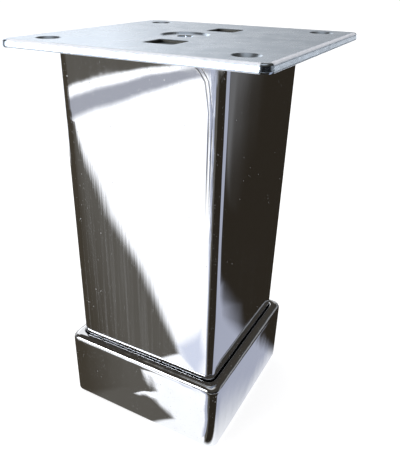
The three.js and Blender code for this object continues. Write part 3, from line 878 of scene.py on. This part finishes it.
# Painted reflections: glowing cards that only polished chrome shows, which paint dark surroundings
# and the leg's shadow on the floor into it. Name, colour, height above the floor, full corners and
# the corners where the card has faded out. All lengths are millimetres from the column's axis.
PAINTED_REFLECTION_CARDS = (
    (
        "painted_reflection_wedge", DARK_WARM, 0.60,
        [(2, -33), (11, -41), (-2, -46), (-11, -45), (-4, -51), (-18, -58), (-8, -70), (-30, -89),
         (-70, -125), (-142, -182), (-352, -388), (-430, -330), (-60, -20)],
        [(6, -33), (15, -42), (1, -48), (-9, -47), (0, -52), (-13, -60), (-4, -71), (-24, -92),
         (-61, -129), (-130, -188), (-336, -382), (-450, -300), (-50, 10)],
    ),
    (
        "painted_reflection_wedge_deep", DARK_OLIVE, 0.64,
        [(-32, -34), (-400, -432), (-430, -400), (-60, -20)],
        [(-12, -50), (-346, -384), (-460, -330), (-50, 10)],
    ),
    (
        "painted_reflection_left_edge", DARK_OLIVE, 0.80,
        [(-34, -31), (-1870, -1900), (-2300, -700), (-330, -120), (-300, 200), (-34, 40)],
        [(-32, -34), (-1800, -1950), (-2500, -500), (-420, -60), (-380, 300), (-31, 90)],
    ),
    (
        "painted_reflection_far_band", BAND_GREY, 0.30,
        [(-430, -900), (-430, -100), (-376, -100), (-376, -900)],
        [(-466, -960), (-466, -60), (-340, -60), (-340, -960)],
    ),
    (
        "painted_reflection_far_dark", DARK_WARM, 0.40,
        [(-1300, -1300), (-1300, -100), (-524, -100), (-524, -1300)],
        [(-1500, -1500), (-1500, -60), (-486, -60), (-486, -1500)],
    ),
    (
        "painted_reflection_right_floor", MID_LILAC, 0.35,
        [(60, -36), (1700, -2000), (2600, -1000), (2600, 2600), (40, 500), (40, 20)],
        [(33, -33), (1600, -2200), (2800, -1000), (2800, 2800), (20, 560), (33, 0)],
    ),
    (
        "painted_reflection_right", DARK_BROWN, 0.70,
        [(36, 40), (46, 47), (58, 66), (76, 84), (110, 92), (160, 100), (420, 330), (2500, 2100),
         (2500, 2500), (200, 2500), (0, 200)],
        [(36, 28), (52, 36), (70, 50), (90, 60), (122, 56), (165, 54), (480, 240), (2700, 1600),
         (2700, 2700), (100, 2700), (-20, 180)],
    ),
    (
        "painted_reflection_right_haze", SMOKE_GREY, 0.75,
        [(230, 330), (320, 560), (1200, 2400), (2500, 2400), (2500, 2000), (420, 380)],
        [(105, 165), (208, 465), (980, 2600), (2700, 2600), (2700, 1500), (200, 130)],
    ),
    (
        "painted_reflection_near_corner", DARK_BROWN, 0.90,
        [(31, -38), (-660, -1900), (-400, -1900), (-90, -900), (180, -900), (1950, -500), (106, -24)],
        [(30, -36), (-700, -1950), (-360, -2100), (-60, -1300), (170, -1300), (2050, -250), (112, -12)],
    ),
    (
        "painted_reflection_corner_warm", DARK_WARM, 0.92,
        [(31, -38), (-620, -1900), (-250, -1900), (33, -60)],
        [(30, -36), (-700, -1950), (150, -1950), (40, -60)],
    ),
    (
        "painted_reflection_edge_pale", EDGE_LILAC, 0.94,
        [(29, -40), (-13, -150), (-915, -2000), (-735, -2000), (-9, -150), (31, -48)],
        [(28, -38), (-18, -150), (-960, -2050), (-690, -2050), (-5, -152), (32, -50)],
    ),
    (
        "painted_reflection_floor_patch", PALE_LILAC, 0.32,
        [(5, -66), (5, -74), (-1, -84), (-5, -76)],
        [(17, -57), (15, -80), (-5, -102), (-15, -75)],
    ),
)

# Soft lights: name, azimuth from +X and elevation in degrees, distance, width and height in
# metres, radiance, and whether reflections show the light.
LIGHTS = (
    ("key_overhead", -150.0, 60.0, 1.1, (0.6, 0.6), 3.0, False),
    ("strip_front_left", -122.0, 16.0, 1.0, (0.7, 0.26), 6.0, True),
    ("fill_back_left", 150.0, 31.0, 1.1, (0.9, 0.5), 0.9, True),
)


def emission(tree, colour, strength=1.0):
    """An emitting surface."""
    return add(tree, "Emission", {"Color": colour, "Strength": strength}).outputs[0]


def place_on_stage(name, mesh, material):
    """Links a mesh that isn't part of the leg."""
    mesh.materials.append(material)
    thing = bpy.data.objects.new(name, mesh)
    bpy.context.scene.collection.objects.link(thing)
    return thing


def make_floor():
    """A plain pale floor: white, matt, and a little self-lit so that it stays pale."""
    material, tree = new_material("pale_floor")
    grain = noise(tree, 3.0, 3.0)
    tone = mix_colour(tree, grain, (0.44, 0.44, 0.45, 1), (0.46, 0.46, 0.46, 1))
    matt = add(tree, "BsdfDiffuse", {"Color": tone}).outputs[0]
    glow = emission(tree, (1.0, 1.0, 1.0, 1), FLOOR_GLOW)
    both = add(tree, "AddShader", {0: matt, 1: glow}).outputs[0]
    output = add(tree, "OutputMaterial")
    tree.links.new(both, output.inputs["Surface"])
    reach = FLOOR_REACH
    mesh = bpy.data.meshes.new("floor")
    corners = [(-reach, -reach, 0.0), (reach, -reach, 0.0), (reach, reach, 0.0), (-reach, reach, 0.0)]
    mesh.from_pydata(corners, [], [(0, 1, 2, 3)])
    place_on_stage("floor", mesh, material)


def painted_reflection_material(name, colour):
    """A glowing card that only reflections see, a painted reflection, fading out where its cover falls
    from 1 to 0.
    """
    material, tree = new_material(name)
    cover = remap(tree, vertex_mark(tree, "cover"), 0.0, 1.0, 0.0, 1.0, True)
    clear = add(tree, "BsdfTransparent").outputs[0]
    mixed = add(tree, "MixShader", {0: cover, 1: clear, 2: emission(tree, colour)})
    output = add(tree, "OutputMaterial")
    tree.links.new(mixed.outputs[0], output.inputs["Surface"])
    return material


def make_painted_reflection_card(name, colour, height, inner, outer):
    """A card of painted reflection just above the floor, full inside its inner corners and clear at its
    outer ones.
    """
    axis = middle_mm("column_tube")
    points = [((x + axis.x) * MM, (y + axis.y) * MM, height * MM) for x, y in inner + outer]
    count = len(inner)
    faces = [tuple(range(count))]
    for i in range(count):
        j = (i + 1) % count
        faces.append((i, j, count + j, count + i))
    mesh = bpy.data.meshes.new(name)
    mesh.from_pydata(points, [], faces)
    cover = mesh.attributes.new("cover", "FLOAT", "POINT")
    for i in range(count):
        cover.data[i].value = 1.0
    card = place_on_stage(name, mesh, painted_reflection_material(name, colour))
    # Only glossy rays see the card: it paints a reflection and casts neither light nor shade.
    card.visible_camera = False
    card.visible_diffuse = False
    card.visible_shadow = False
    card.visible_transmission = False
    card.visible_volume_scatter = False


def mirrored_level(tree, way):
    """The world's brightness in reflections, a painted reflection that differs from the light it casts,
    and how warm its dark upper part is.

    The left and the back are bright up to a third of the way, the front is dark, and so is
    everything higher, but for a pale patch straight above."""
    x, y, up = way.outputs
    leftward = product(tree, x, -1.0)
    side = remap(tree, leftward, -0.15, 0.1, 0.05, 0.5, True)
    side = calc(tree, "ADD", side, remap(tree, leftward, 0.2, 0.6, 0.0, 0.44, True))
    backward = remap(tree, y, -0.2, 0.5, 0.1, 1.0, True)
    behind = remap(tree, y, 0.1, 0.4, 0.0, 0.36, True)
    strip = product(tree, remap(tree, up, 0.06, 0.1), remap(tree, up, 0.2, 0.28, 1.0, 0.0), behind)
    low = calc(tree, "MAXIMUM", product(tree, side, backward), strip)
    climb = remap(tree, up, 0.30, 0.55, 0.0, 1.0, True)
    zenith = remap(tree, up, 0.88, 0.97, 0.0, 1.0, True)
    upper = mix_value(tree, zenith, mix_value(tree, climb, low, 0.05), 0.6)
    horizon = remap(tree, up, 0.0, 0.04, 1.0, 0.0, True)
    horizon_level = remap(tree, y, -0.1, 0.4, 1.0, 0.5, True)
    level = mix_value(tree, horizon, upper, horizon_level)
    return level, calc(tree, "SUBTRACT", climb, zenith)


def make_world():
    """Soft pale light all round, with a plainer and partly dark surrounding painted into reflections
    only.
    """
    world = bpy.data.worlds.new("studio")
    bpy.context.scene.world = world
    world.use_nodes = True
    tree = world.node_tree
    tree.nodes.clear()
    way = add(tree, "SeparateXYZ", {0: add(tree, "TexCoord").outputs["Generated"]})
    mirrored, warm = mirrored_level(tree, way)
    path = add(tree, "LightPath")
    # Glossy rays see the painted reflection; all other rays get even light.
    in_mirror = path.outputs["Is Glossy Ray"]
    level = mix_value(tree, in_mirror, 0.85, mirrored)
    level = mix_value(tree, path.outputs["Is Camera Ray"], level, 1.1)
    hue = mix_colour(tree, product(tree, warm, in_mirror), (1.0, 1.0, 1.0, 1), (1.0, 0.88, 0.72, 1))
    background = add(tree, "Background", {"Color": hue, "Strength": level})
    output = add(tree, "OutputWorld")
    tree.links.new(background.outputs[0], output.inputs["Surface"])


def area_light(name, azimuth, elevation, distance, size, radiance, mirrored):
    """A soft light of a width and height aimed at the leg."""
    data = bpy.data.lights.new(name, "AREA")
    data.shape = "RECTANGLE"
    data.size, data.size_y = size
    data.energy = radiance * math.pi * size[0] * size[1]
    lamp = bpy.data.objects.new(name, data)
    bpy.context.scene.collection.objects.link(lamp)
    a = math.radians(azimuth)
    e = math.radians(elevation)
    away = Vector((math.cos(a) * math.cos(e), math.sin(a) * math.cos(e), math.sin(e)))
    lamp.location = CAMERA_TARGET + away * distance
    lamp.rotation_mode = "QUATERNION"
    lamp.rotation_quaternion = (-away).to_track_quat("-Z", "Y")
    lamp.visible_glossy = mirrored


def make_camera():
    """The camera at the viewing angle of the picture being matched."""
    data = bpy.data.cameras.new("camera")
    data.lens = CAMERA_LENS
    data.sensor_width = 36.0
    data.shift_x, data.shift_y = CAMERA_SHIFT
    data.clip_start = 0.005
    data.clip_end = 50.0
    camera = bpy.data.objects.new("camera", data)
    bpy.context.scene.collection.objects.link(camera)
    forward = (CAMERA_TARGET - CAMERA_PLACE).normalized()
    right = forward.cross(Vector((0.0, 0.0, 1.0))).normalized()
    up = right.cross(forward)
    across = right * math.cos(CAMERA_ROLL) + up * math.sin(CAMERA_ROLL)
    upright = up * math.cos(CAMERA_ROLL) - right * math.sin(CAMERA_ROLL)
    turn = Matrix((across, upright, -forward)).transposed()
    camera.matrix_world = Matrix.Translation(CAMERA_PLACE) @ turn.to_4x4()
    bpy.context.scene.camera = camera


make_floor()
for card in PAINTED_REFLECTION_CARDS:
    make_painted_reflection_card(*card)
make_world()
for light in LIGHTS:
    area_light(*light)
make_camera()
bpy.context.scene.view_settings.view_transform = "Standard"

bpy.context.view_layer.update()
